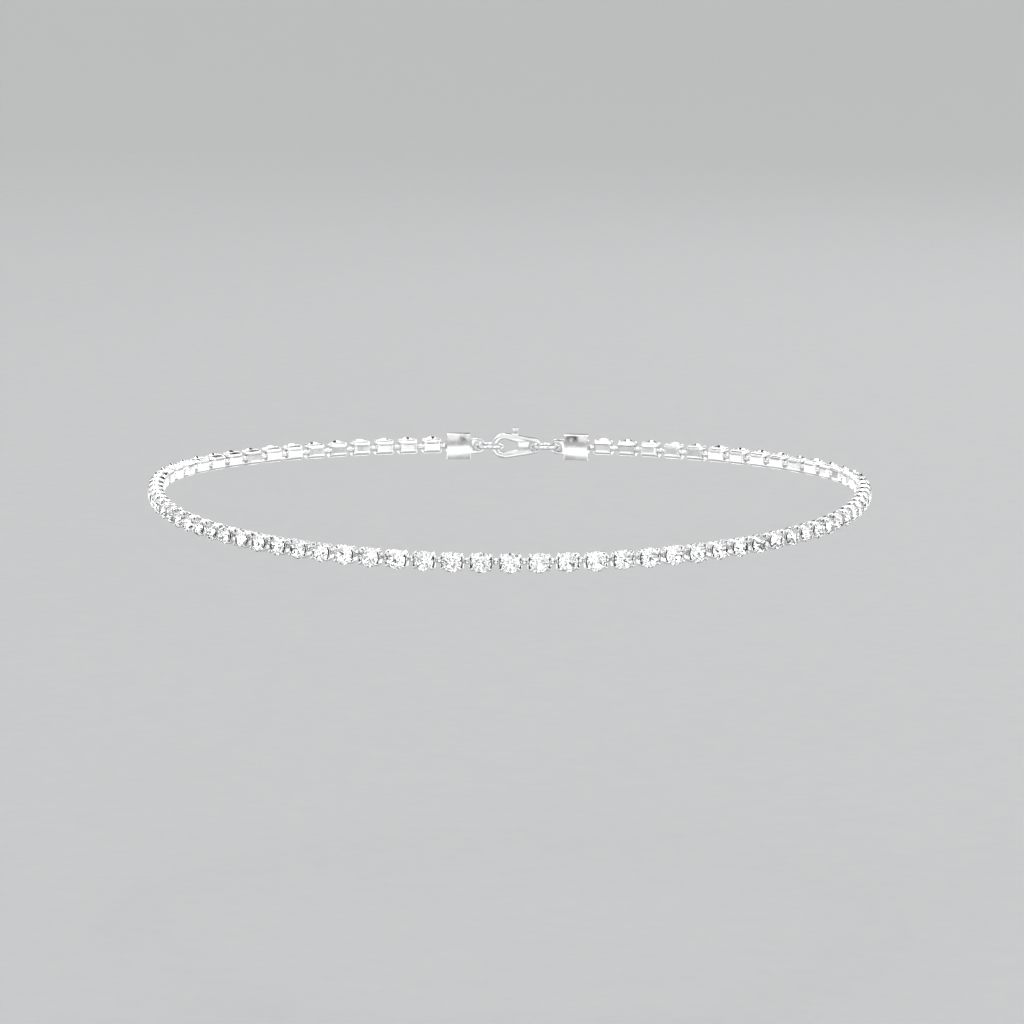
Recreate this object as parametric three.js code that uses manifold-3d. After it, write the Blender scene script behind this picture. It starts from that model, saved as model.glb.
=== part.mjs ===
// Rhinestone choker: a single row of round crystals in square four-prong cups, joined cup to cup by
// short metal links, closed at the nape by a plain lobster clasp on two jump rings.
//
// Millimetres. +Z is up along the neck, -Y is the wearer's front, and the origin is the middle of the
// neck opening, level with the stones.
import * as THREE from "three";
import { mergeVertices } from "three/addons/utils/BufferGeometryUtils.js";
import Module from "manifold-3d";

const wasm = await Module();
wasm.setup();

// The loop that the links lie on, as worn round the neck
const loopWidth = 114.1;
const throatDepth = 72.5;
const napeDepth = 43.3;

// Chain
const nominalPitch = 4.2;
const linkWaist = 0.66;
const linkMiddle = 1.1;
const linkThickness = 0.4;
const linkBury = 0.25;

// Cup, a tray whose end walls stand just clear of the stone along the chain, and whose upper and lower
// walls lie behind the stone
const cupWidth = 3.5;
const cupHeight = 2.6;
const cupFloorBehindLink = 0.45;
const cupRimAheadOfLink = 1.35;

// Stone, pointed at the back and cut with a table and eight crown facets, its widest line on the rim
const stoneDiameter = 3.1;
const stoneFacets = 8;
const crownHeight = 0.75;
const pavilionHeight = 1.3;
const tableDiameter = 1.7;

// Prongs, one at each corner of the cup, bent in until its tip lies on the crown of the stone
const prongWidth = 0.45;
const prongInset = 0.38;
const prongShoulder = 0.3;
const prongReachOverStone = 0.4;
const prongBury = 0.15;

// Clasp and the rings on either side of it
const ringWire = 0.7;
const ringMeanRadius = 2.1;
const ringWireSides = 6;
const ringSteps = 12;
const holeClearance = 0.4;
const eyeWall = 0.6;
const claspThickness = 1.4;
const claspHookWall = 1.0;
const claspHookHoleRadius = 1.2;
const claspHookHoleLength = 3.6;
const claspNeck = 1.5;
const leverWidth = 1.3;
const leverHeight = 0.9;

// End connector, the tray that grips the last cup
const trayGap = 0.3;
const trayWall = 0.35;
const trayRimAheadOfLink = 0.9;
const eyeTabThickness = 0.6;
const eyeTabNeck = 0.55;

// Gap between the two halves of the chain where the middle link enters the left half's first cup
const meshGap = 0.3;

const arcSteps = 6;
const loopSteps = 2000;

const silverPlate = { color: 0xd9dadc, roughness: 0.16, metalness: 1.0 };

// The loop, as one curve that starts at the throat and runs by the wearer's left, +X, to the nape

class NeckLoop extends THREE.Curve {
  getPoint(share, target = new THREE.Vector3()) {
    const angle = share * 2 * Math.PI - Math.PI / 2;
    const depth = Math.sin(angle) < 0 ? throatDepth : napeDepth;
    return target.set((loopWidth / 2) * Math.cos(angle), depth * Math.sin(angle), 0);
  }
}

const loop = new NeckLoop();
loop.arcLengthDivisions = loopSteps;
const loopLength = loop.getLength();

// A frame on the loop: X along the chain, Y up the neck, Z outwards from the skin
function frame(origin, along) {
  const up = new THREE.Vector3(0, 0, 1);
  const outwards = new THREE.Vector3().crossVectors(along, up);
  return new THREE.Matrix4().makeBasis(along, up, outwards).setPosition(origin);
}

const placeAt = (arc) => loop.getPointAt(THREE.MathUtils.euclideanModulo(arc / loopLength, 1));

function frameBetween(arcFrom, arcTo) {
  const [from, to] = [placeAt(arcFrom), placeAt(arcTo)];
  const along = new THREE.Vector3().subVectors(to, from).normalize();
  return frame(from.add(to).multiplyScalar(0.5), along);
}

function frameOn(arc) {
  const along = loop.getTangentAt(THREE.MathUtils.euclideanModulo(arc / loopLength, 1));
  return frame(placeAt(arc), along);
}

// Solids, joined and cut

function solid(geometry, matrix = new THREE.Matrix4()) {
  const bare = new THREE.BufferGeometry();
  const flat = geometry.index ? geometry.toNonIndexed() : geometry;
  bare.setAttribute("position", flat.getAttribute("position").clone());
  const merged = mergeVertices(bare.applyMatrix4(matrix), 1e-5);
  return new wasm.Manifold(
    new wasm.Mesh({
      numProp: 3,
      vertProperties: merged.getAttribute("position").array,
      triVerts: new Uint32Array(merged.index.array),
    }),
  );
}

function geometryOf(body) {
  const { vertProperties, triVerts } = body.getMesh();
  const geometry = new THREE.BufferGeometry();
  geometry.setAttribute("position", new THREE.BufferAttribute(vertProperties, 3));
  geometry.setIndex(new THREE.BufferAttribute(triVerts, 1));
  return geometry;
}

const join = (bodies) => bodies.reduce((whole, body) => whole.add(body));

function slab(outline, low, high, holes = []) {
  outline.holes.push(...holes);
  const geometry = new THREE.ExtrudeGeometry(outline, {
    depth: high - low,
    bevelEnabled: false,
    curveSegments: arcSteps,
  });
  return geometry.translate(0, 0, low);
}

function outlineOf(points) {
  return new THREE.Shape(points.map(([x, y]) => new THREE.Vector2(x, y)));
}

function block(x0, x1, y0, y1, z0, z1) {
  const box = new THREE.BoxGeometry(x1 - x0, y1 - y0, z1 - z0);
  return solid(box.translate((x0 + x1) / 2, (y0 + y1) / 2, (z0 + z1) / 2));
}

// Outline round two circles on the X axis and the tangents that join them, drawn anticlockwise
function pearOutline(x0, radius0, x1, radius1, Kind = THREE.Shape) {
  const tangent = Math.acos((radius0 - radius1) / (x1 - x0));
  const pear = new Kind();
  pear.absarc(x1, 0, radius1, -tangent, tangent, false);
  pear.absarc(x0, 0, radius0, tangent, 2 * Math.PI - tangent, false);
  pear.closePath();
  return pear;
}

function circleHole(x, radius) {
  const hole = new THREE.Path();
  hole.absarc(x, 0, radius, 0, 2 * Math.PI, true);
  return hole;
}

// One cup with its stone and four prongs, fused

function cup() {
  const [x, y] = [cupWidth / 2, cupHeight / 2];
  return block(-x, x, -y, y, -cupFloorBehindLink, cupRimAheadOfLink);
}

function stone() {
  const toCorner = 1 / Math.cos(Math.PI / stoneFacets);
  const profile = [
    new THREE.Vector2(0, cupRimAheadOfLink - pavilionHeight),
    new THREE.Vector2((stoneDiameter / 2) * toCorner, cupRimAheadOfLink),
    new THREE.Vector2((tableDiameter / 2) * toCorner, cupRimAheadOfLink + crownHeight),
    new THREE.Vector2(0, cupRimAheadOfLink + crownHeight),
  ];
  const lathe = new THREE.LatheGeometry(profile, stoneFacets);
  return lathe.rotateX(Math.PI / 2).rotateZ(Math.PI / stoneFacets);
}

// Direction and distance of a corner of the cup from its middle
const cornerAngle = Math.atan2(cupHeight, cupWidth);
const cornerReach = Math.hypot(cupHeight, cupWidth) / 2;

function prong() {
  const outer = cornerReach - prongInset;
  const tip = stoneDiameter / 2 - prongReachOverStone;
  const crownSlope = crownHeight / ((stoneDiameter - tableDiameter) / 2);
  const rise = prongReachOverStone * crownSlope - prongShoulder;
  const topSlope = rise / (outer - tip);
  const shoulder = cupRimAheadOfLink + prongShoulder;
  const side = outlineOf([
    [tip - prongBury, cupRimAheadOfLink - prongBury],
    [outer, cupRimAheadOfLink - prongBury],
    [outer, shoulder],
    [tip - prongBury, shoulder + rise + prongBury * topSlope],
  ]);
  return slab(side, -prongWidth / 2, prongWidth / 2).rotateX(Math.PI / 2);
}

function stoneInCup() {
  const corners = [cornerAngle, Math.PI - cornerAngle, Math.PI + cornerAngle, -cornerAngle];
  const prongs = corners.map((angle) => solid(prong().rotateZ(angle)));
  return join([cup(), solid(stone()), ...prongs]);
}

// One link, a flat strip that widens to a round middle

function link(length) {
  const [waist, middle, end] = [linkWaist / 2, linkMiddle / 2, length / 2];
  const upper = [
    [end, waist],
    [0, middle],
    [-end, waist],
  ];
  const lower = upper.map(([x, y]) => [x, -y]).reverse();
  return slab(outlineOf([...lower, ...upper]), -linkThickness / 2, linkThickness / 2);
}

// Where the hardware and the stones stand, as arc lengths out from the middle of the nape

const eyeHoleRadius = ringWire / 2 + holeClearance;
const eyeRadius = eyeHoleRadius + eyeWall;
const hookRadius = claspHookHoleRadius + claspHookWall;
const hookContact = claspHookHoleRadius - eyeHoleRadius;
const claspEyeX = -(claspHookHoleLength + claspNeck + hookContact) / 2;
const claspHookX = -claspEyeX - hookContact;
const ringCentreArc = -claspEyeX + ringMeanRadius;
const connectorEyeArc = ringCentreArc + ringMeanRadius;
const connectorReach = cupWidth / 2 + trayGap + trayWall + eyeTabNeck + eyeHoleRadius;
const lastStoneArc = connectorEyeArc + connectorReach;

// Stones stand half a pitch to each side of the throat, and the last ones meet the connectors
const chainArc = loopLength / 2 - lastStoneArc;
const stonesPerHalf = Math.round(chainArc / nominalPitch + 0.5);
const pitch = chainArc / (stonesPerHalf - 0.5);

function halfChain(side) {
  const unit = geometryOf(stoneInCup());
  const stoneArc = (i) => side * (i + 0.5) * pitch;
  const bodies = [];
  for (let i = 0; i < stonesPerHalf; i++) {
    bodies.push(solid(unit, frameOn(stoneArc(i))));
  }
  for (let i = 1; i < stonesPerHalf; i++) {
    const reach = pitch - cupWidth + 2 * linkBury;
    bodies.push(solid(link(reach), frameBetween(stoneArc(i - 1), stoneArc(i))));
  }
  if (side > 0) {
    bodies.push(middleLink(stoneArc(0)));
  }
  return join(bodies);
}

// The link at the throat belongs to the left half and stops short of the right half's first cup
function middleLink(firstStoneArc) {
  const reach = pitch - cupWidth + linkBury - meshGap;
  const shift = (linkBury + meshGap) / 2;
  const geometry = link(reach).translate(shift, 0, 0);
  return solid(geometry, frameBetween(-firstStoneArc, firstStoneArc));
}

// Jump ring, lying level so that its wire runs through both eyes

function jumpRing() {
  const section = [];
  for (let i = 0; i <= ringWireSides; i++) {
    const angle = (i * 2 * Math.PI) / ringWireSides;
    const radius = ringWire / 2 / Math.cos(Math.PI / ringWireSides);
    section.push(
      new THREE.Vector2(ringMeanRadius + radius * Math.cos(angle), radius * Math.sin(angle)),
    );
  }
  return solid(new THREE.LatheGeometry(section, ringSteps));
}

// Lobster clasp in one piece, with the ring's eye at -X and the hook's loop at +X

function claspBody() {
  const hookHole = pearOutline(
    claspHookX - claspHookHoleLength + claspHookHoleRadius + eyeHoleRadius,
    eyeHoleRadius,
    claspHookX,
    claspHookHoleRadius,
    THREE.Path,
  );
  const holes = [circleHole(claspEyeX, eyeHoleRadius), hookHole];
  const outline = pearOutline(claspEyeX, eyeRadius, claspHookX, hookRadius);
  const half = claspThickness / 2;
  const plate = solid(slab(outline, -half, half, holes));
  const leverBase = hookRadius - claspHookWall / 2;
  const leverTop = hookRadius + leverHeight;
  const leverX = claspHookX - claspHookHoleRadius;
  const lever = outlineOf([
    [leverX - leverWidth, leverBase - claspHookWall / 2],
    [leverX, leverBase],
    [leverX - leverWidth / 4, leverTop],
    [leverX - leverWidth, leverTop],
  ]);
  const thin = half * 0.7;
  return plate.add(solid(slab(lever, -thin, thin)));
}

// End connector: floor, two side walls and an end wall round the last cup, and an eye for the ring.
// The cup is at the origin and the eye lies towards +X.

function connectorBody() {
  const end = cupWidth / 2 + trayGap;
  const side = stoneDiameter / 2 + trayGap;
  const back = -cupWidth / 2;
  const floorTop = -cupFloorBehindLink - trayGap;
  const floor = floorTop - trayWall;
  const root = floorTop - trayWall / 2;
  const [farEnd, farSide] = [end + trayWall, side + trayWall];
  const tray = [
    block(back, farEnd, -farSide, farSide, floor, floorTop),
    block(back, farEnd, side, farSide, root, trayRimAheadOfLink),
    block(back, farEnd, -farSide, -side, root, trayRimAheadOfLink),
    block(end, farEnd, -farSide, farSide, root, trayRimAheadOfLink),
  ];
  const halfTab = eyeTabThickness / 2;
  const tab = new THREE.Shape();
  tab.moveTo(end + trayWall / 2, -eyeRadius);
  tab.lineTo(connectorReach, -eyeRadius);
  tab.absarc(connectorReach, 0, eyeRadius, -Math.PI / 2, Math.PI / 2, false);
  tab.lineTo(end + trayWall / 2, eyeRadius);
  tab.closePath();
  const eye = solid(slab(tab, -halfTab, halfTab, [circleHole(connectorReach, eyeHoleRadius)]));
  return join([...tray, eye]);
}

// The necklace, one named mesh for each piece

const choker = new THREE.Group();
choker.name = "choker";

function addPiece(name, body, matrix = new THREE.Matrix4()) {
  const mesh = new THREE.Mesh(geometryOf(body), new THREE.MeshStandardMaterial(silverPlate));
  mesh.name = name;
  mesh.applyMatrix4(matrix);
  choker.add(mesh);
}

const nape = loopLength / 2;

addPiece("cup_chain_left", halfChain(1));
addPiece("cup_chain_right", halfChain(-1));
addPiece("clasp", claspBody(), frameBetween(nape + claspEyeX, nape - claspEyeX));
addPiece("jump_ring_left", jumpRing(), frameOn(nape - ringCentreArc));
addPiece("jump_ring_right", jumpRing(), frameOn(nape + ringCentreArc));
addPiece("end_connector_left", connectorBody(), frameOn(nape - lastStoneArc));
addPiece(
  "end_connector_right",
  connectorBody(),
  frameOn(nape + lastStoneArc).multiply(new THREE.Matrix4().makeRotationZ(Math.PI)),
);

export default choker;
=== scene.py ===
import math
from bisect import bisect_right

import bmesh
import bpy
from mathutils import Matrix, Vector


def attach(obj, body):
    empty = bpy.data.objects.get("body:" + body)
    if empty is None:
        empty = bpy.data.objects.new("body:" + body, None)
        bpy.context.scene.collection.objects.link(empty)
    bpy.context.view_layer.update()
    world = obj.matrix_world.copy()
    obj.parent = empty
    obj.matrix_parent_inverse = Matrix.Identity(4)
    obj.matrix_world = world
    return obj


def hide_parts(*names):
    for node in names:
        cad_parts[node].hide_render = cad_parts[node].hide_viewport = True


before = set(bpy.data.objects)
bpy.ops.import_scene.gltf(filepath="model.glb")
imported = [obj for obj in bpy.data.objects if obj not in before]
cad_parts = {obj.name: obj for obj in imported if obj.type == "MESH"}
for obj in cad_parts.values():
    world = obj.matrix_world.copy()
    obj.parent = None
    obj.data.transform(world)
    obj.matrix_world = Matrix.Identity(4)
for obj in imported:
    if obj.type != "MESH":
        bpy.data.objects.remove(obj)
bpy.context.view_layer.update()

# ---- Cups ---------------------------------------------------------------------------------------
# Forty-one square cups on each side of the throat, pressed from thin brass sheet, each with a low
# rim and a prong at every corner that is hammered down over the crystal. The inside of a cup is
# painted darker than its rim, as painted shade.

# Sizes of pieces are in millimetres. A cup or a link has X along the chain, Y up the neck and Z
# outwards, and the run is measured along the links from the throat.
mm = 0.001
loop_width, throat_depth, nape_depth = 114.1, 72.5, 43.3
run_steps = 1440
stones_per_side = 41
last_stone_before_nape = 10.675


def run_point(turn):
    depth = throat_depth if turn < math.pi / 2 else nape_depth
    return Vector((loop_width / 2 * math.sin(turn), -depth * math.cos(turn), 0.0))


run_points = [run_point(math.pi * i / run_steps) for i in range(run_steps + 1)]
run_reach = [0.0]
for here, ahead in zip(run_points, run_points[1:]):
    run_reach.append(run_reach[-1] + (ahead - here).length)
half_length = run_reach[-1]
pitch = (half_length - last_stone_before_nape) / (stones_per_side - 0.5)


def new_mesh(name, shells, smooth_below=None):
    """Mesh in metres from closed shells of (points, faces, values) in millimetres."""
    mesh = bpy.data.meshes.new(name)
    whole = bmesh.new()
    layers = {key: whole.verts.layers.float.new(key) for key in shells[0][2]}
    for points, faces, values in shells:
        made = [whole.verts.new(point * mm) for point in points]
        skin = [whole.faces.new([made[i] for i in face]) for face in faces]
        bmesh.ops.recalc_face_normals(whole, faces=skin)
        for key, numbers in values.items():
            for vert, number in zip(made, numbers):
                vert[layers[key]] = number
    whole.to_mesh(mesh)
    whole.free()
    if smooth_below is not None:
        mesh.shade_smooth()
        mesh.set_sharp_from_angle(angle=math.radians(smooth_below))
    return mesh


def loft(rings):
    """Skin over rings of equal count, with a face at each end."""
    count = len(rings[0])
    points = [point for ring in rings for point in ring]
    faces = []
    for low in range(0, len(points) - count, count):
        high = low + count
        for j in range(count):
            k = (j + 1) % count
            faces.append((low + j, low + k, high + k, high + j))
    faces.append(tuple(range(count)))
    faces.append(tuple(range(len(points) - count, len(points))))
    return points, faces


cup_half_length, cup_half_height = 1.75, 1.30
cup_corner, cup_corner_least, cup_corner_loss = 0.54, 0.08, 0.8
cup_floor, cup_rim_at_corner, cup_rim_at_end, cup_rim_at_side = -0.45, 1.36, 1.14, 0.86
cup_corner_steps, cup_side_steps = 6, 6
# Section through the wall, from the underside over the rim to the floor inside: inset from the
# outer face, height over the underside or else below the rim, and how far it is inside, 0 to 1,
# which sets how much painted shade and extra roughness the metal gets there
cup_wall = [
    (0.95, 0.00, None, 0.0),
    (0.58, 0.00, None, 0.0),
    (0.44, 0.03, None, 0.0),
    (0.34, 0.11, None, 0.0),
    (0.19, 0.42, None, 0.0),
    (0.05, 0.90, None, 0.0),
    (0.00, None, 0.12, 0.0),
    (0.01, None, 0.04, 0.0),
    (0.05, None, 0.00, 0.0),
    (0.13, None, 0.00, 0.0),
    (0.17, None, 0.04, 0.3),
    (0.18, None, 0.12, 0.7),
    (0.24, 0.82, None, 1.0),
    (0.38, 0.42, None, 1.0),
    (0.54, 0.22, None, 1.0),
    (0.95, 0.20, None, 1.0),
]


def cup_outline(inset):
    half_x, half_y = cup_half_length - inset, cup_half_height - inset
    corner = max(cup_corner - cup_corner_loss * inset, cup_corner_least)
    arcs = []
    for quadrant in range(4):
        centre_x = (half_x - corner) * (1 if quadrant in (0, 3) else -1)
        centre_y = (half_y - corner) * (1 if quadrant in (0, 1) else -1)
        arc = []
        for step in range(cup_corner_steps + 1):
            angle = (quadrant + step / cup_corner_steps) * math.pi / 2
            arc.append((centre_x + corner * math.cos(angle), centre_y + corner * math.sin(angle)))
        arcs.append(arc)
    outline = []
    for arc, following in zip(arcs, arcs[1:] + arcs[:1]):
        outline += arc
        for step in range(1, cup_side_steps):
            share = step / cup_side_steps
            outline.append(tuple(a + (b - a) * share for a, b in zip(arc[-1], following[0])))
    return outline


def cup_rim(x, y):
    """Height of the rim, which dips between the corners."""
    straight_x, straight_y = cup_half_length - cup_corner, cup_half_height - cup_corner
    if abs(y) < straight_y:
        return cup_rim_at_end + (cup_rim_at_corner - cup_rim_at_end) * (abs(y) / straight_y) ** 2
    if abs(x) < straight_x:
        return cup_rim_at_side + (cup_rim_at_corner - cup_rim_at_side) * (abs(x) / straight_x) ** 3
    return cup_rim_at_corner


def cup_shell():
    rims = [cup_rim(x, y) for x, y in cup_outline(0.0)]
    rings, inside = [], []
    for inset, over_floor, below_rim, depth in cup_wall:
        ring = []
        for (x, y), rim in zip(cup_outline(inset), rims):
            z = cup_floor + over_floor if below_rim is None else rim - below_rim
            ring.append(Vector((x, y, z)))
        rings.append(ring)
        inside += [depth] * len(ring)
    points, faces = loft(rings)
    return points, faces, {"recess": inside}


def squared_circle(turn, roundness):
    """Point of a circle that is drawn out towards its square, where roundness is below 1."""
    plain = math.cos(turn), math.sin(turn)
    return [math.copysign(abs(value) ** roundness, value) for value in plain]


prong_angle = math.radians(36.6)
prong_sides, prong_roundness = 12, 0.75
# Reach from the cup's middle, height, width and thickness, from the foot to the tip on the crystal
prong_sections = [
    (1.81, 0.40, 0.52, 0.20),
    (1.825, 1.10, 0.50, 0.20),
    (1.83, 1.34, 0.49, 0.20),
    (1.79, 1.50, 0.48, 0.20),
    (1.69, 1.60, 0.47, 0.19),
    (1.55, 1.665, 0.46, 0.18),
    (1.42, 1.72, 0.45, 0.17),
    (1.30, 1.80, 0.44, 0.16),
    (1.20, 1.89, 0.40, 0.15),
    (1.16, 1.925, 0.30, 0.11),
    (1.135, 1.945, 0.14, 0.05),
]


def prong_shell(angle):
    outwards = Vector((math.cos(angle), math.sin(angle), 0.0))
    across = Vector((-math.sin(angle), math.cos(angle), 0.0))
    last = len(prong_sections) - 1
    rings = []
    for i, (reach, height, width, thickness) in enumerate(prong_sections):
        before, after = prong_sections[max(i - 1, 0)], prong_sections[min(i + 1, last)]
        slope = Vector((before[1] - after[1], after[0] - before[0])).normalized()
        face = outwards * slope.x + Vector((0.0, 0.0, slope.y))
        centre = outwards * reach + Vector((0.0, 0.0, height))
        ring = []
        for j in range(prong_sides):
            wide, thick = squared_circle(2 * math.pi * (j + 0.5) / prong_sides, prong_roundness)
            ring.append(centre + across * (wide * width / 2) + face * (thick * thickness / 2))
        rings.append(ring)
    points, faces = loft(rings)
    return points, faces, {"recess": [0.0] * len(points)}


def add(tree, kind, inputs=None, **settings):
    """New node with its settings, and with values for or links into its sockets, by identifier."""
    node = tree.nodes.new(kind)
    for key, value in settings.items():
        setattr(node, key, value)
    sockets = {socket.identifier: socket for socket in node.inputs}
    for key, value in (inputs or {}).items():
        if isinstance(value, bpy.types.NodeSocket):
            tree.links.new(value, sockets[key])
        else:
            sockets[key].default_value = value
    return node


# Stringing: copies of one unit at equal steps along the run, upright, facing outwards, with the
# slight lean of pieces that are set by hand
stringing = bpy.data.node_groups.new("stringing", "GeometryNodeTree")
for label, kind in {
    "Run": "Geometry",
    "Unit": "Object",
    "First": "Float",
    "Spacing": "Float",
    "Count": "Int",
    "Side": "Float",
    "Lean": "Float",
    "Spin": "Float",
    "Seed": "Int",
    "Finish": "Material",
    "Backing": "Material",
}.items():
    stringing.interface.new_socket(label, in_out="INPUT", socket_type="NodeSocket" + kind)
stringing.interface.new_socket("Strung", in_out="OUTPUT", socket_type="NodeSocketGeometry")
given = add(stringing, "NodeGroupInput").outputs
mirror = add(stringing, "ShaderNodeCombineXYZ", {"X": given["Side"], "Y": 1.0, "Z": 1.0})
placed_run = add(
    stringing,
    "GeometryNodeTransform",
    {"Geometry": given["Run"], "Scale": mirror.outputs[0]},
)
thread = add(stringing, "GeometryNodeMeshToCurve", {"Mesh": placed_run.outputs[0]})
seats = add(stringing, "GeometryNodeMeshLine", {"Count": given["Count"]})
order = add(stringing, "GeometryNodeInputIndex")
reach = add(
    stringing,
    "ShaderNodeMath",
    {"Value": order.outputs[0], "Value_001": given["Spacing"], "Value_002": given["First"]},
    operation="MULTIPLY_ADD",
)
on_run = add(
    stringing,
    "GeometryNodeSampleCurve",
    {"Curves": thread.outputs[0], "Length": reach.outputs[0]},
    mode="LENGTH",
)
seated = add(
    stringing,
    "GeometryNodeSetPosition",
    {"Geometry": seats.outputs[0], "Position": on_run.outputs["Position"]},
)
along = add(
    stringing,
    "ShaderNodeVectorMath",
    {"Vector": on_run.outputs["Tangent"], "Scale": given["Side"]},
    operation="SCALE",
)
outwards = add(
    stringing,
    "ShaderNodeVectorMath",
    {"Vector": along.outputs[0], "Vector_001": (0.0, 0.0, 1.0)},
    operation="CROSS_PRODUCT",
)
facing = add(
    stringing,
    "FunctionNodeAxesToRotation",
    {"Primary Axis": outwards.outputs[0], "Secondary Axis": along.outputs[0]},
    primary_axis="Z",
    secondary_axis="X",
)
unit = add(stringing, "GeometryNodeObjectInfo", {"Object": given["Unit"], "As Instance": True})
strung = add(
    stringing,
    "GeometryNodeInstanceOnPoints",
    {
        "Points": seated.outputs[0],
        "Instance": unit.outputs["Geometry"],
        "Rotation": facing.outputs[0],
    },
)
less = add(
    stringing,
    "ShaderNodeMath",
    {"Value": given["Lean"], "Value_001": -1.0},
    operation="MULTIPLY",
)
lean_low = add(stringing, "ShaderNodeCombineXYZ", {"X": less.outputs[0], "Y": less.outputs[0]})
lean_high = add(stringing, "ShaderNodeCombineXYZ", {"X": given["Lean"], "Y": given["Lean"]})
lean = add(
    stringing,
    "FunctionNodeRandomValue",
    {"Min": lean_low.outputs[0], "Max": lean_high.outputs[0], "Seed": given["Seed"]},
    data_type="FLOAT_VECTOR",
)
leant = add(
    stringing,
    "GeometryNodeRotateInstances",
    {"Instances": strung.outputs[0], "Rotation": lean.outputs[0], "Local Space": True},
)
spin_seed = add(
    stringing,
    "ShaderNodeMath",
    {"Value": given["Seed"], "Value_001": 7.0},
    operation="ADD",
)
spin_high = add(stringing, "ShaderNodeCombineXYZ", {"Z": given["Spin"]})
spin = add(
    stringing,
    "FunctionNodeRandomValue",
    {"Min": (0.0, 0.0, 0.0), "Max": spin_high.outputs[0], "Seed": spin_seed.outputs[0]},
    data_type="FLOAT_VECTOR",
)
spun = add(
    stringing,
    "GeometryNodeRotateInstances",
    {"Instances": leant.outputs[0], "Rotation": spin.outputs[0], "Local Space": True},
)
tone = add(stringing, "FunctionNodeRandomValue", {"Seed": given["Seed"]}, data_type="FLOAT")
toned = add(
    stringing,
    "GeometryNodeStoreNamedAttribute",
    {"Geometry": spun.outputs[0], "Name": "tone", "Value": tone.outputs["Value"]},
    data_type="FLOAT",
    domain="INSTANCE",
)
real = add(stringing, "GeometryNodeRealizeInstances", {"Geometry": toned.outputs[0]})
finished = add(
    stringing,
    "GeometryNodeSetMaterial",
    {"Geometry": real.outputs[0], "Material": given["Finish"]},
)
foiled = add(stringing, "GeometryNodeInputNamedAttribute", {"Name": "foiled"}, data_type="BOOLEAN")
backed = add(
    stringing,
    "GeometryNodeSetMaterial",
    {
        "Geometry": finished.outputs[0],
        "Selection": foiled.outputs["Attribute"],
        "Material": given["Backing"],
    },
)
stringing.links.new(backed.outputs[0], add(stringing, "NodeGroupOutput").inputs["Strung"])


def string(name, unit_mesh, **settings):
    """One piece of strung units, as a plain mesh."""
    run = bpy.data.meshes.new("run")
    edges = [(i, i + 1) for i in range(run_steps)]
    run.from_pydata([point * mm for point in run_points], edges, [])
    carrier = bpy.data.objects.new("carrier", run)
    unit_object = bpy.data.objects.new("unit", unit_mesh)
    for item in (carrier, unit_object):
        bpy.context.collection.objects.link(item)
    modifier = carrier.modifiers.new("stringing", "NODES")
    modifier.node_group = stringing
    sockets = {item.name: item.identifier for item in stringing.interface.items_tree}
    for key, value in {"Unit": unit_object, **settings}.items():
        modifier[sockets[key]] = value
    evaluated = carrier.evaluated_get(bpy.context.evaluated_depsgraph_get())
    mesh = bpy.data.meshes.new_from_object(evaluated)
    mesh.name = name
    piece = bpy.data.objects.new(name, mesh)
    bpy.context.collection.objects.link(piece)
    for item in (carrier, unit_object):
        bpy.data.objects.remove(item)
    return piece


def srgb(code):
    """Linear colour of a hex code."""
    parts = [int(code[i : i + 2], 16) / 255 for i in (1, 3, 5)]
    return [c / 12.92 if c <= 0.04045 else ((c + 0.055) / 1.055) ** 2.4 for c in parts] + [1.0]


# Rhodium-coloured plating over tumbled brass: a bright neutral mirror, with the faint ripple that
# tumbling leaves, hazier patches, and painted shade in the cups: a dark grey colour, a little
# rougher.
# The ripple is coarser than the real one, which is too fine to show.
ripple_size, ripple_depth, haze_size = 0.20, 0.02, 1.1
pocket_dullness = 0.25
plating = bpy.data.materials.new("rhodium_plating")
plating.use_nodes = True
tree = plating.node_tree
surface = tree.nodes["Principled BSDF"]
surface.inputs["Metallic"].default_value = 1.0
here = add(tree, "ShaderNodeTexCoord").outputs["Object"]
ripple = add(
    tree,
    "ShaderNodeTexNoise",
    {"Vector": here, "Scale": 1000 / ripple_size, "Detail": 2.0},
)
haze = add(tree, "ShaderNodeTexNoise", {"Vector": here, "Scale": 1000 / haze_size, "Detail": 3.0})
batch = add(tree, "ShaderNodeAttribute", attribute_name="tone")
pocket = add(tree, "ShaderNodeAttribute", attribute_name="recess")
# A Mix node's colour is its outputs[2]
coat = add(
    tree,
    "ShaderNodeMix",
    {"Factor_Float": batch.outputs["Fac"], "A_Color": srgb("#DCDCDC"), "B_Color": srgb("#EBEBEA")},
    data_type="RGBA",
)
# The dark grey #474747, mixed in by the recess attribute, is painted shade inside the cups
plated = add(
    tree,
    "ShaderNodeMix",
    {"Factor_Float": pocket.outputs["Fac"], "A_Color": coat.outputs[2], "B_Color": srgb("#474747")},
    data_type="RGBA",
)
polish = add(
    tree,
    "ShaderNodeMapRange",
    {"Value": haze.outputs[0], "From Min": 0.3, "From Max": 0.7, "To Min": 0.09, "To Max": 0.2},
)
dull = add(
    tree,
    "ShaderNodeMath",
    {
        "Value": pocket.outputs["Fac"],
        "Value_001": pocket_dullness,
        "Value_002": polish.outputs[0],
    },
    operation="MULTIPLY_ADD",
)
relief = add(
    tree,
    "ShaderNodeBump",
    {"Height": ripple.outputs[0], "Strength": 0.18, "Distance": ripple_depth * mm},
)
tree.links.new(plated.outputs[2], surface.inputs["Base Color"])
tree.links.new(dull.outputs[0], surface.inputs["Roughness"])
tree.links.new(relief.outputs[0], surface.inputs["Normal"])

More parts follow.
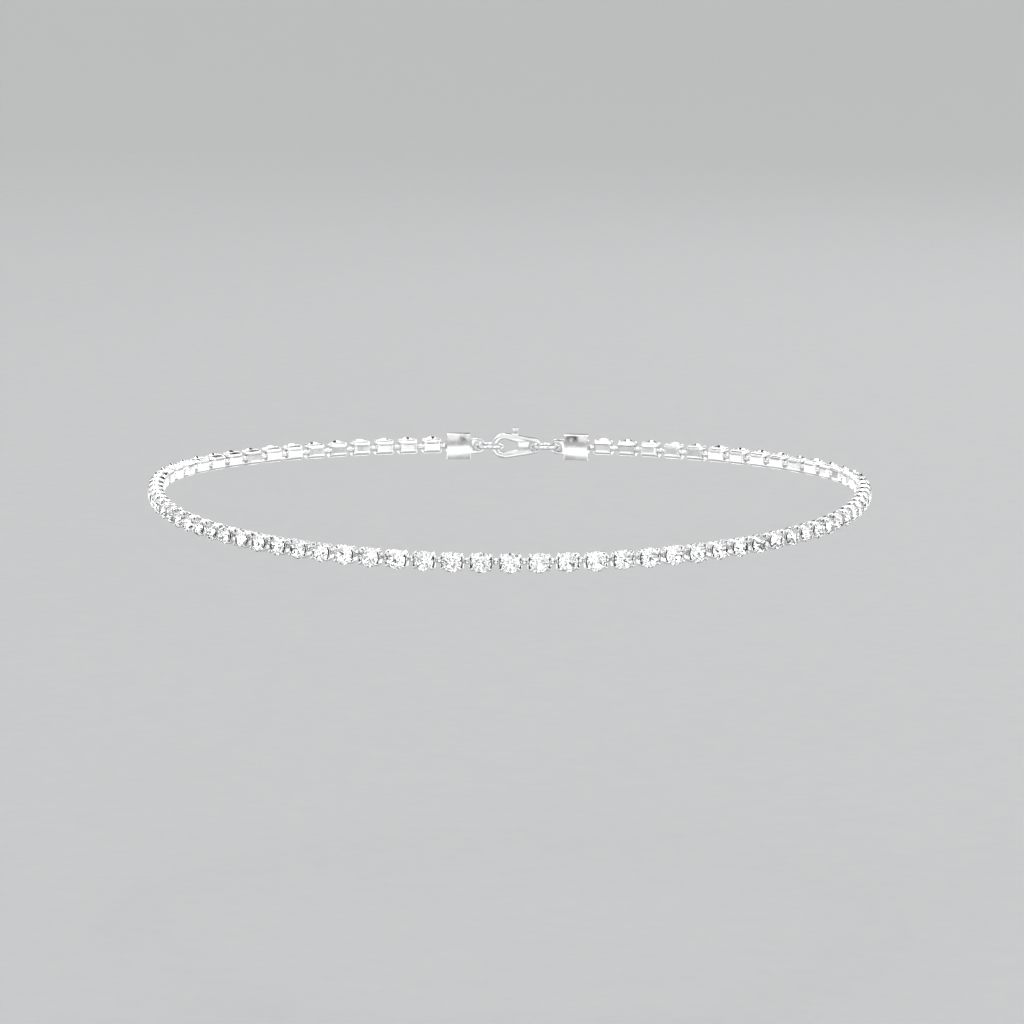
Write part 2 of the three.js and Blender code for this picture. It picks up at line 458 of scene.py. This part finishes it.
corner_angles = [prong_angle, math.pi - prong_angle, math.pi + prong_angle, -prong_angle]
cup_parts = [cup_shell()] + [prong_shell(angle) for angle in corner_angles]
cup_mesh = new_mesh("cup", cup_parts, smooth_below=40)
set_lean = math.radians(1.6)
setting = {"Spacing": pitch * mm, "Count": stones_per_side, "First": pitch / 2 * mm}

for side, side_name, seed in ((1, "left", 11), (-1, "right", 23)):
    cups = string(
        f"cups_{side_name}",
        cup_mesh,
        Side=float(side),
        Lean=set_lean,
        Seed=seed,
        Finish=plating,
        **setting,
    )
    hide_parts(f"cup_chain_{side_name}")
    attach(cups, "root")

# ---- Links --------------------------------------------------------------------------------------
# Short flat strips of the same brass, pressed with a round bead in the middle. Each one is clinched
# into the cups on both sides of it and plated with them.

link_tuck, link_half_height, link_half_thickness, link_roundness = 0.25, 0.30, 0.15, 0.8
bead_reach, bead_extra_height, bead_extra_thickness = 0.62, 0.19, 0.18
link_half_length = pitch / 2 - cup_half_length + link_tuck
link_lean = math.radians(7.0)
link_sides = 14
# Where the strip has a section, as shares of its half length
link_sections = [-1.0, -0.8, -0.64, -0.58, -0.48, -0.34, -0.17, 0.0]
link_sections += [-share for share in reversed(link_sections[:-1])]


def link_shell():
    rings = []
    for share in link_sections:
        bead = max(0.0, 1.0 - (share / bead_reach) ** 2) ** 0.5
        half_height = link_half_height + bead_extra_height * bead
        half_thickness = link_half_thickness + bead_extra_thickness * bead
        ring = []
        for j in range(link_sides):
            up, out = squared_circle(2 * math.pi * j / link_sides, link_roundness)
            ring.append(Vector((share * link_half_length, up * half_height, out * half_thickness)))
        rings.append(ring)
    points, faces = loft(rings)
    return points, faces, {}


# The link at the throat belongs to the left half
link_mesh = new_mesh("link", [link_shell()], smooth_below=50)
for side, side_name, seed in ((1, "left", 31), (-1, "right", 43)):
    links = string(
        f"links_{side_name}",
        link_mesh,
        Side=float(side),
        Lean=link_lean,
        Seed=seed,
        First=0.0 if side > 0 else pitch * mm,
        Spacing=pitch * mm,
        Count=stones_per_side if side > 0 else stones_per_side - 1,
        Finish=plating,
    )
    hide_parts(f"cup_chain_{side_name}")
    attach(links, "root")

# ---- Crystals -----------------------------------------------------------------------------------
# Round clear crystals of 3.1 mm, machine-cut with a table, eight kites, eight stars and sixteen
# girdle facets. The pointed back is silvered and lacquered, and the prongs hold each by its crown.

facet_fold = 8
girdle_radius, girdle_low, girdle_high = 1.55, 1.33, 1.38
table_radius, table_height, star_radius = 0.86, 2.03, 1.17
culet_height, lower_radius = 0.06, 0.42


def crystal_shell():
    """Points and faces of the cut, and for each face whether it is on the silvered back."""

    def ring(radius, height, first):
        turns = [math.pi * (2 * k + first) / facet_fold for k in range(facet_fold)]
        return [Vector((radius * math.cos(t), radius * math.sin(t), height)) for t in turns]

    half_step = math.cos(math.pi / facet_fold)
    crown_slope = (table_height - girdle_high) / (girdle_radius - table_radius)
    star_height = girdle_high + (girdle_radius - star_radius * half_step) * crown_slope
    back_slope = (girdle_low - culet_height) / girdle_radius
    lower_height = girdle_low - (girdle_radius - lower_radius * half_step) * back_slope
    table = ring(table_radius, table_height, 0)
    star = ring(star_radius, star_height, 1)
    kite_high, rest_high = ring(girdle_radius, girdle_high, 0), ring(girdle_radius, girdle_high, 1)
    kite_low, rest_low = ring(girdle_radius, girdle_low, 0), ring(girdle_radius, girdle_low, 1)
    lower = ring(lower_radius, lower_height, 1)
    points = table + star + kite_high + rest_high + kite_low + rest_low + lower
    points.append(Vector((0.0, 0.0, culet_height)))
    # The first point of each ring, in the same order, and the culet
    t, s, kh, rh, kl, rl, lo, culet = (i * facet_fold for i in range(8))
    faces = [tuple(range(facet_fold))]
    foil = [False]
    for k in range(facet_fold):
        n, b = (k + 1) % facet_fold, (k - 1) % facet_fold
        front = [
            (t + k, s + k, t + n),
            (t + k, s + b, kh + k, s + k),
            (s + k, kh + k, rh + k),
            (s + k, rh + k, kh + n),
            (kh + k, kl + k, rl + k, rh + k),
            (rh + k, rl + k, kl + n, kh + n),
        ]
        back = [
            (culet, lo + b, kl + k, lo + k),
            (lo + k, kl + k, rl + k),
            (lo + k, rl + k, kl + n),
        ]
        faces += front + back
        foil += [False] * len(front) + [True] * len(back)
    return points, faces, foil


crystal_points, crystal_faces, crystal_foil = crystal_shell()
crystal_mesh = new_mesh("crystal", [(crystal_points, crystal_faces, {})])
crystal_mesh.shade_flat()
crystal_mesh.attributes.new("foiled", "BOOLEAN", "FACE").data.foreach_set("value", crystal_foil)

# Lead-free crystal glass, machine-polished: water clear, with sharp white flashes at the facets and
# hardly any haze from handling
smear_size = 0.7
crystal = bpy.data.materials.new("cut_crystal")
crystal.use_nodes = True
tree = crystal.node_tree
surface = tree.nodes["Principled BSDF"]
surface.inputs["Transmission Weight"].default_value = 1.0
surface.inputs["IOR"].default_value = 1.56
here = add(tree, "ShaderNodeTexCoord").outputs["Object"]
batch = add(tree, "ShaderNodeAttribute", attribute_name="tone")
body = add(
    tree,
    "ShaderNodeMix",
    {"Factor_Float": batch.outputs["Fac"], "A_Color": srgb("#F8F9F9"), "B_Color": srgb("#FFFFFF")},
    data_type="RGBA",
)
smear = add(
    tree,
    "ShaderNodeTexNoise",
    {"Vector": here, "Scale": 1000 / smear_size, "Detail": 2.0},
)
gloss = add(
    tree,
    "ShaderNodeMapRange",
    {"Value": smear.outputs[0], "From Min": 0.4, "From Max": 0.75, "To Min": 0.0, "To Max": 0.05},
)
tree.links.new(body.outputs[2], surface.inputs["Base Color"])
tree.links.new(gloss.outputs[0], surface.inputs["Roughness"])

# Silvering under lacquer on the back of the crystal: a mirror seen through the glass, which throws
# the light back out, with the slight unevenness of the lacquer
mottle_size = 0.4
silvering = bpy.data.materials.new("silvered_back")
silvering.use_nodes = True
tree = silvering.node_tree
surface = tree.nodes["Principled BSDF"]
surface.inputs["Metallic"].default_value = 1.0
here = add(tree, "ShaderNodeTexCoord").outputs["Object"]
mottle = add(
    tree,
    "ShaderNodeTexNoise",
    {"Vector": here, "Scale": 1000 / mottle_size, "Detail": 2.0},
)
silver = add(
    tree,
    "ShaderNodeMix",
    {"Factor_Float": mottle.outputs[0], "A_Color": srgb("#F1F1F2"), "B_Color": srgb("#FDFDFD")},
    data_type="RGBA",
)
sheen = add(
    tree,
    "ShaderNodeMapRange",
    {"Value": mottle.outputs[0], "From Min": 0.3, "From Max": 0.7, "To Min": 0.03, "To Max": 0.09},
)
tree.links.new(silver.outputs[2], surface.inputs["Base Color"])
tree.links.new(sheen.outputs[0], surface.inputs["Roughness"])

for side, side_name, seed in ((1, "left", 11), (-1, "right", 23)):
    crystals = string(
        f"crystals_{side_name}",
        crystal_mesh,
        Side=float(side),
        Lean=set_lean,
        Spin=math.pi / 4,
        Seed=seed,
        Finish=crystal,
        Backing=silvering,
        **setting,
    )
    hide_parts(f"cup_chain_{side_name}")
    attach(crystals, "root")

# ---- End connectors -----------------------------------------------------------------------------
# Trays folded from brass sheet that grip the last cup on each side, with a round eye brazed to the
# end wall for the jump ring. They are plated like the chain.

tray_sheet, tray_edge, tray_corner, tray_corner_steps = 0.35, 0.11, 0.5, 4
tray_back, tray_end, tray_side, tray_base, tray_top = -1.75, 2.225, 2.025, -0.925, 0.90
eye_reach, eye_radius, eye_hole = 3.70, 1.35, 0.75
eye_half_thickness, eye_edge = 0.30, 0.09


def station(reach, side):
    """Frame on the run: X along it, Y up the neck, Z outwards, at a length from the throat."""
    i = min(max(bisect_right(run_reach, reach) - 1, 0), run_steps - 1)
    step = run_points[i + 1] - run_points[i]
    place = run_points[i] + step * ((reach - run_reach[i]) / step.length)
    mirror = Matrix.Diagonal((side, 1.0, 1.0))
    heading, up = (mirror @ step).normalized() * side, Vector((0.0, 0.0, 1.0))
    turned = Matrix((heading, up, heading.cross(up))).transposed().to_4x4()
    return Matrix.Translation(mirror @ place * mm) @ turned


def add_piece(name, meshes, material, matrix):
    """One piece from several meshes in its own frame, put in its place."""
    whole = bmesh.new()
    for mesh in meshes:
        whole.from_mesh(mesh)
    whole.transform(matrix)
    mesh = bpy.data.meshes.new(name)
    whole.to_mesh(mesh)
    whole.free()
    mesh.materials.append(material)
    mesh.shade_smooth()
    mesh.set_sharp_from_angle(angle=math.radians(40))
    piece = bpy.data.objects.new(name, mesh)
    bpy.context.collection.objects.link(piece)
    return piece


def evaluated_mesh(name, data, modifiers=()):
    """Mesh of a curve or a mesh with its modifiers applied."""
    source = bpy.data.objects.new(name, data)
    bpy.context.collection.objects.link(source)
    for kind, settings in modifiers:
        modifier = source.modifiers.new(kind, kind)
        for key, value in settings.items():
            setattr(modifier, key, value)
    result = source.evaluated_get(bpy.context.evaluated_depsgraph_get())
    mesh = bpy.data.meshes.new_from_object(result)
    bpy.data.objects.remove(source)
    return mesh


def mend(mesh, weld=None):
    """Point a mesh's faces outwards, once points closer than the weld are merged."""
    whole = bmesh.new()
    whole.from_mesh(mesh)
    if weld is not None:
        bmesh.ops.remove_doubles(whole, verts=whole.verts, dist=weld)
    bmesh.ops.recalc_face_normals(whole, faces=whole.faces)
    whole.to_mesh(mesh)
    whole.free()


def folded_tray():
    """Middle of the sheet: base, two side walls with rounded free corners and the end wall."""
    points, faces = [], []

    def spot(x, y, z):
        points.append(Vector((x, y, z)) * mm)
        return len(points) - 1

    base = [
        spot(tray_back, -tray_side, tray_base),
        spot(tray_end, -tray_side, tray_base),
        spot(tray_end, tray_side, tray_base),
        spot(tray_back, tray_side, tray_base),
    ]
    faces.append(base)
    tops = {}
    for sign, near, far in ((-1, base[0], base[1]), (1, base[3], base[2])):
        y = sign * tray_side
        rounded = []
        for step in range(tray_corner_steps + 1):
            turn = math.pi / 2 * step / tray_corner_steps
            x = tray_back + tray_corner * (1 - math.cos(turn))
            rounded.append(spot(x, y, tray_top - tray_corner * (1 - math.sin(turn))))
        tops[sign] = spot(tray_end, y, tray_top)
        faces.append([near] + rounded + [tops[sign], far])
    faces.append([base[1], tops[-1], tops[1], base[2]])
    sheet = bpy.data.meshes.new("sheet")
    sheet.from_pydata(points, [], faces)
    mend(sheet)
    solidify = {"thickness": tray_sheet * mm, "offset": 0.0, "use_even_offset": True}
    bevel = {
        "width": tray_edge * mm,
        "segments": 3,
        "limit_method": "ANGLE",
        "angle_limit": math.radians(35),
    }
    return evaluated_mesh("tray", sheet, (("SOLIDIFY", solidify), ("BEVEL", bevel)))


def circle(x, radius, first=0.0, last=2 * math.pi, steps=48):
    """Points of a circle or an arc whose centre is on the chain's line."""
    turns = [first + (last - first) * i / steps for i in range(steps + 1)]
    return [(x + radius * math.cos(t), radius * math.sin(t)) for t in turns]


def plate(outlines, half_thickness, edge):
    """Flat plate between its outline and its holes, with rounded edges, in metres."""
    curve = bpy.data.curves.new("plate", "CURVE")
    curve.dimensions = "2D"
    curve.fill_mode = "BOTH"
    for outline in outlines:
        closed = outline[:-1] if math.dist(outline[0], outline[-1]) < 1e-6 else outline
        spline = curve.splines.new("POLY")
        spline.points.add(len(closed) - 1)
        for point, (x, y) in zip(spline.points, closed):
            point.co = (x * mm, y * mm, 0.0, 1.0)
        spline.use_cyclic_u = True
    curve.extrude = (half_thickness - edge) * mm
    curve.bevel_depth = edge * mm
    curve.bevel_resolution = 2
    curve.offset = -edge * mm
    mesh = evaluated_mesh("plate", curve)
    mend(mesh, weld=1e-7)
    return mesh


eye_outline = [(tray_end, -eye_radius)]
eye_outline += circle(eye_reach, eye_radius, -math.pi / 2, math.pi / 2, steps=32)
eye_outline.append((tray_end, eye_radius))
for side, side_name in ((1, "left"), (-1, "right")):
    eye = plate([eye_outline, circle(eye_reach, eye_hole)], eye_half_thickness, eye_edge)
    towards_nape = Matrix.Rotation(0.0 if side > 0 else math.pi, 4, "Z")
    place = station(half_length - last_stone_before_nape, side) @ towards_nape
    name = f"end_connector_{side_name}_plated"
    connector = add_piece(name, [folded_tray(), eye], plating, place)
    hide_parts(f"end_connector_{side_name}")
    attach(connector, "root")

# ---- Jump rings ---------------------------------------------------------------------------------
# Rings of 0.7 mm brass wire, wound on a rod, cut and closed so that the cut ends butt together.
# Each joins an end connector to the clasp and lies level between their eyes.

ring_radius, ring_wire_radius, ring_before_nape = 2.1, 0.35, 4.875
ring_steps, ring_sides = 96, 18
ring_cut_place, ring_cut_half_gap, ring_cut_rounding = math.radians(140), math.radians(2.0), 0.88


def ring_shell():
    rings = []
    for i in range(ring_steps + 1):
        swept = (2 * math.pi - 2 * ring_cut_half_gap) * i / ring_steps
        turn = ring_cut_half_gap + swept + ring_cut_place
        rolled = ring_cut_rounding if i in (0, ring_steps) else 1.0
        ring = []
        for j in range(ring_sides):
            angle = 2 * math.pi * j / ring_sides
            radius = ring_radius + ring_wire_radius * rolled * math.cos(angle)
            height = ring_wire_radius * rolled * math.sin(angle)
            ring.append(Vector((radius * math.cos(turn), height, radius * math.sin(turn))))
        rings.append(ring)
    points, faces = loft(rings)
    return points, faces, {}


ring_mesh = new_mesh("ring", [ring_shell()])
for side, side_name in ((1, "left"), (-1, "right")):
    place = station(half_length - ring_before_nape, side)
    ring = add_piece(f"jump_ring_{side_name}_plated", [ring_mesh], plating, place)
    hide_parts(f"jump_ring_{side_name}")
    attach(ring, "root")

# ---- Clasp --------------------------------------------------------------------------------------
# A plain lobster clasp at the nape, cast and plated: a pear-shaped loop with an eye at its narrow
# end and a thumb lever on its upper edge. Nothing of it shows at the throat.

clasp_eye_x, clasp_hook_x, clasp_hook_radius = -2.775, 2.325, 2.2
clasp_half_thickness, clasp_edge = 0.7, 0.22
hook_hole_x, hook_hole_radius = 0.675, 1.2
lever_outline = [(-0.175, 1.2), (1.125, 1.7), (0.8, 3.1), (-0.175, 3.1)]
lever_half_thickness, lever_edge = 0.49, 0.12


def pear(narrow_x, narrow_radius, wide_x, wide_radius):
    """Outline round two circles on one line and the tangents that join them."""
    tangent = math.acos((narrow_radius - wide_radius) / (wide_x - narrow_x))
    wide = circle(wide_x, wide_radius, -tangent, tangent, steps=40)
    return wide + circle(narrow_x, narrow_radius, tangent, 2 * math.pi - tangent, steps=32)


body_outlines = [
    pear(clasp_eye_x, eye_radius, clasp_hook_x, clasp_hook_radius),
    circle(clasp_eye_x, eye_hole),
    pear(hook_hole_x, eye_hole, clasp_hook_x, hook_hole_radius),
]
body_plate = plate(body_outlines, clasp_half_thickness, clasp_edge)
lever = plate([lever_outline], lever_half_thickness, lever_edge)
clasp_place = station(half_length, 1)
clasp_place.translation = Vector((0.0, nape_depth, 0.0)) * mm
clasp = add_piece("clasp_plated", [body_plate, lever], plating, clasp_place)
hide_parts("clasp")
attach(clasp, "root")

# ---- Studio -------------------------------------------------------------------------------------
# A pale matt floor below the choker, soft lights on both sides, above and behind, and the camera a
# little above the level of the stones. Sizes and places here are in metres.

floor_drop, floor_size = 0.070, 9.0
floor_mesh = bpy.data.meshes.new("floor")
far = floor_size / 2
corners = [(-far, -far), (far, -far), (far, far), (-far, far)]
floor_mesh.from_pydata([(x, y, -floor_drop) for x, y in corners], [], [(0, 1, 2, 3)])
floor = bpy.data.objects.new("floor", floor_mesh)
bpy.context.collection.objects.link(floor)

# Matt background paper: pale, even, with a faint grain and no gloss. The grain is coarser than that
# of real paper, which is too fine to show.
grain_size = 4.0
paper = bpy.data.materials.new("matt_paper")
paper.use_nodes = True
tree = paper.node_tree
surface = tree.nodes["Principled BSDF"]
surface.inputs["Roughness"].default_value = 0.85
here = add(tree, "ShaderNodeTexCoord").outputs["Object"]
grain = add(
    tree,
    "ShaderNodeTexNoise",
    {"Vector": here, "Scale": 1000 / grain_size, "Detail": 4.0},
)
shade = add(
    tree,
    "ShaderNodeMix",
    {"Factor_Float": grain.outputs[0], "A_Color": srgb("#A0A1A2"), "B_Color": srgb("#A7A7A8")},
    data_type="RGBA",
)
tree.links.new(shade.outputs[2], surface.inputs["Base Color"])
floor_mesh.materials.append(paper)

# The room: white walls, a little darker towards the floor, with dark gaps between their panels that
# the facets pick up as specks
gap_scale, gap_low, gap_high, room_strength = 4.2, 0.44, 0.46, 1.9
world = bpy.data.worlds.new("studio")
world.use_nodes = True
bpy.context.scene.world = world
tree = world.node_tree
room = tree.nodes["Background"]
direction = add(tree, "ShaderNodeTexCoord").outputs["Generated"]
heights = add(tree, "ShaderNodeSeparateXYZ", {"Vector": direction})
walls = add(tree, "ShaderNodeValToRGB", {"Fac": heights.outputs["Z"]})
walls.color_ramp.elements[0].position = 0.0
walls.color_ramp.elements[0].color = srgb("#C4C4C4")
walls.color_ramp.elements[1].position = 0.8
walls.color_ramp.elements[1].color = srgb("#FFFFFF")
middle = walls.color_ramp.elements.new(0.25)
middle.color = srgb("#F0F0F0")
gaps = add(tree, "ShaderNodeTexNoise", {"Vector": direction, "Scale": gap_scale, "Detail": 1.0})
panels = add(
    tree,
    "ShaderNodeMapRange",
    {
        "Value": gaps.outputs[0],
        "From Min": gap_low,
        "From Max": gap_high,
        "To Min": 0.0,
        "To Max": 1.0,
    },
)
lit = add(
    tree,
    "ShaderNodeMix",
    {"Factor_Float": 1.0, "A_Color": walls.outputs[0], "B_Color": panels.outputs[0]},
    data_type="RGBA",
    blend_type="MULTIPLY",
)
tree.links.new(lit.outputs[2], room.inputs["Color"])
room.inputs["Strength"].default_value = room_strength


def soft_light(name, place, turned, size, power):
    """Rectangular area light, which shines along its own -Z."""
    light = bpy.data.lights.new(name, "AREA")
    light.shape = "RECTANGLE"
    light.size, light.size_y = size
    light.energy = power
    lamp = bpy.data.objects.new(name, light)
    lamp.location = place
    lamp.rotation_euler = turned
    bpy.context.collection.objects.link(lamp)
    return lamp


for name, place, size, power in (
    ("key", (-0.75, -0.95, 0.75), (0.20, 0.26), 2.6),
    ("fill", (0.95, -0.7, 0.45), (0.16, 0.26), 1.3),
    ("top", (0.0, 0.1, 1.2), (0.30, 0.30), 2.4),
    ("back", (0.3, 1.1, 0.6), (0.30, 0.16), 1.4),
):
    towards_choker = (-Vector(place)).to_track_quat("-Z", "Y").to_euler()
    soft_light(name, place, towards_choker, size, power)

# White cards that lie round the choker and throw light up into the crystals. The camera doesn't see
# them, and the metal and the crystals do.
card_reach, card_size, card_lift, card_power = 0.29, (0.44, 0.30), 0.004, 0.45
for quarter in range(4):
    turn = quarter * math.pi / 2
    place = (card_reach * math.sin(turn), -card_reach * math.cos(turn), card_lift - floor_drop)
    card = soft_light(f"card_{quarter}", place, (math.pi, 0.0, -turn), card_size, card_power)
    card.visible_camera = False

camera_distance, camera_lens = 0.7038, 150.53
camera_azimuth, camera_elevation = math.radians(1.65), math.radians(9.01)
camera_aim, camera_roll = Vector((0.00031, 0.0, -0.00453)), math.radians(0.282)
lens = bpy.data.cameras.new("camera")
lens.lens = camera_lens
camera = bpy.data.objects.new("camera", lens)
sight = Vector(
    (
        -math.sin(camera_azimuth) * math.cos(camera_elevation),
        math.cos(camera_azimuth) * math.cos(camera_elevation),
        -math.sin(camera_elevation),
    )
)
camera.location = -sight * camera_distance
facing_aim = (camera_aim - camera.location).to_track_quat("-Z", "Y").to_matrix()
camera.rotation_euler = (facing_aim @ Matrix.Rotation(camera_roll, 3, "Z")).to_euler()
bpy.context.collection.objects.link(camera)
bpy.context.scene.camera = camera
bpy.context.scene.view_settings.view_transform = "Standard"
